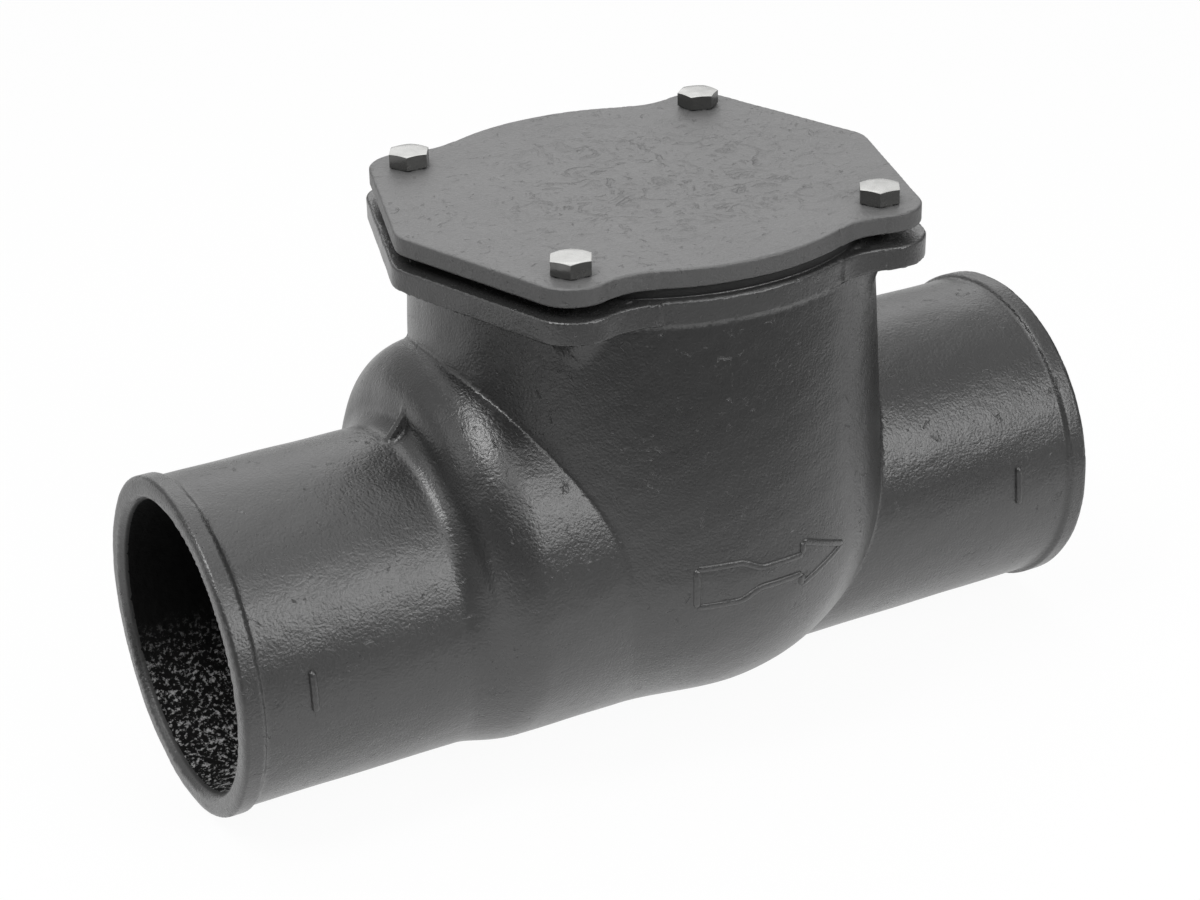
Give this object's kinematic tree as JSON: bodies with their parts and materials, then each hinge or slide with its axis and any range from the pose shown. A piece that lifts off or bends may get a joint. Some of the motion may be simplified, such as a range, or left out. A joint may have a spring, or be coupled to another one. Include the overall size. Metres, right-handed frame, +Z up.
{
  "type": "backwater valve",
  "caption": "In-line drain backwater valve: cast iron body with beaded pipe ends, bolted access cover and a hinged flapper that closes on a tilted seat to stop reverse flow.",
  "frame": {"origin": "centre of the inlet spigot's end face, on the pipe's axis", "axes": "+X with the flow from inlet to outlet, +Z up to the access cover, +Y to the left of the flow"},
  "size_m": [0.3245, 0.164, 0.1869],
  "materials": {
    "cast_iron": "sand-cast iron with a thin satin black coating",
    "gasket_rubber": "black sheet rubber",
    "seal_rubber": "smooth black moulded rubber",
    "zinc_steel": "bright zinc plate",
    "bronze": "cast and turned bronze",
    "brass_screw": "turned brass",
    "stainless": "plain stainless steel"
  },
  "bodies": {
    "root": {"valve_body": "cast_iron", "cover_gasket": "gasket_rubber", "seat_ring": "bronze", "hinge_bracket": "bronze", "bracket_screws": "brass_screw", "hinge_pin": "stainless", "pin_clip_left": "stainless", "pin_clip_right": "stainless"},
    "flapper": {"flapper_arm": "bronze", "flapper_disc": "bronze", "flapper_seal": "seal_rubber", "seal_retainer": "bronze", "retainer_screw": "stainless", "disc_washer": "stainless", "disc_nut": "stainless", "nut_cotter": "stainless"},
    "cover": {"access_cover": "cast_iron"},
    "bolt_1": {"cover_bolt_1": "zinc_steel"},
    "bolt_2": {"cover_bolt_2": "zinc_steel"},
    "bolt_3": {"cover_bolt_3": "zinc_steel"},
    "bolt_4": {"cover_bolt_4": "zinc_steel"}
  },
  "joints": [
    {"name": "flapper_swing", "type": "hinge", "parent": "root", "child": "flapper", "pos_m": [0.13331, 0, 0.06647], "axis": [0, -1, 0], "range_deg": [0, 65]},
    {"name": "cover_lift", "type": "slide", "parent": "root", "child": "cover", "axis": [0, 0, 1], "range_m": [0, 0.15]},
    {"name": "bolt_1_draw", "type": "slide", "parent": "cover", "child": "bolt_1", "axis": [0, 0, 1], "range_m": [0, 0.03]},
    {"name": "bolt_2_draw", "type": "slide", "parent": "cover", "child": "bolt_2", "axis": [0, 0, 1], "range_m": [0, 0.03]},
    {"name": "bolt_3_draw", "type": "slide", "parent": "cover", "child": "bolt_3", "axis": [0, 0, 1], "range_m": [0, 0.03]},
    {"name": "bolt_4_draw", "type": "slide", "parent": "cover", "child": "bolt_4", "axis": [0, 0, 1], "range_m": [0, 0.03]}
  ]
}
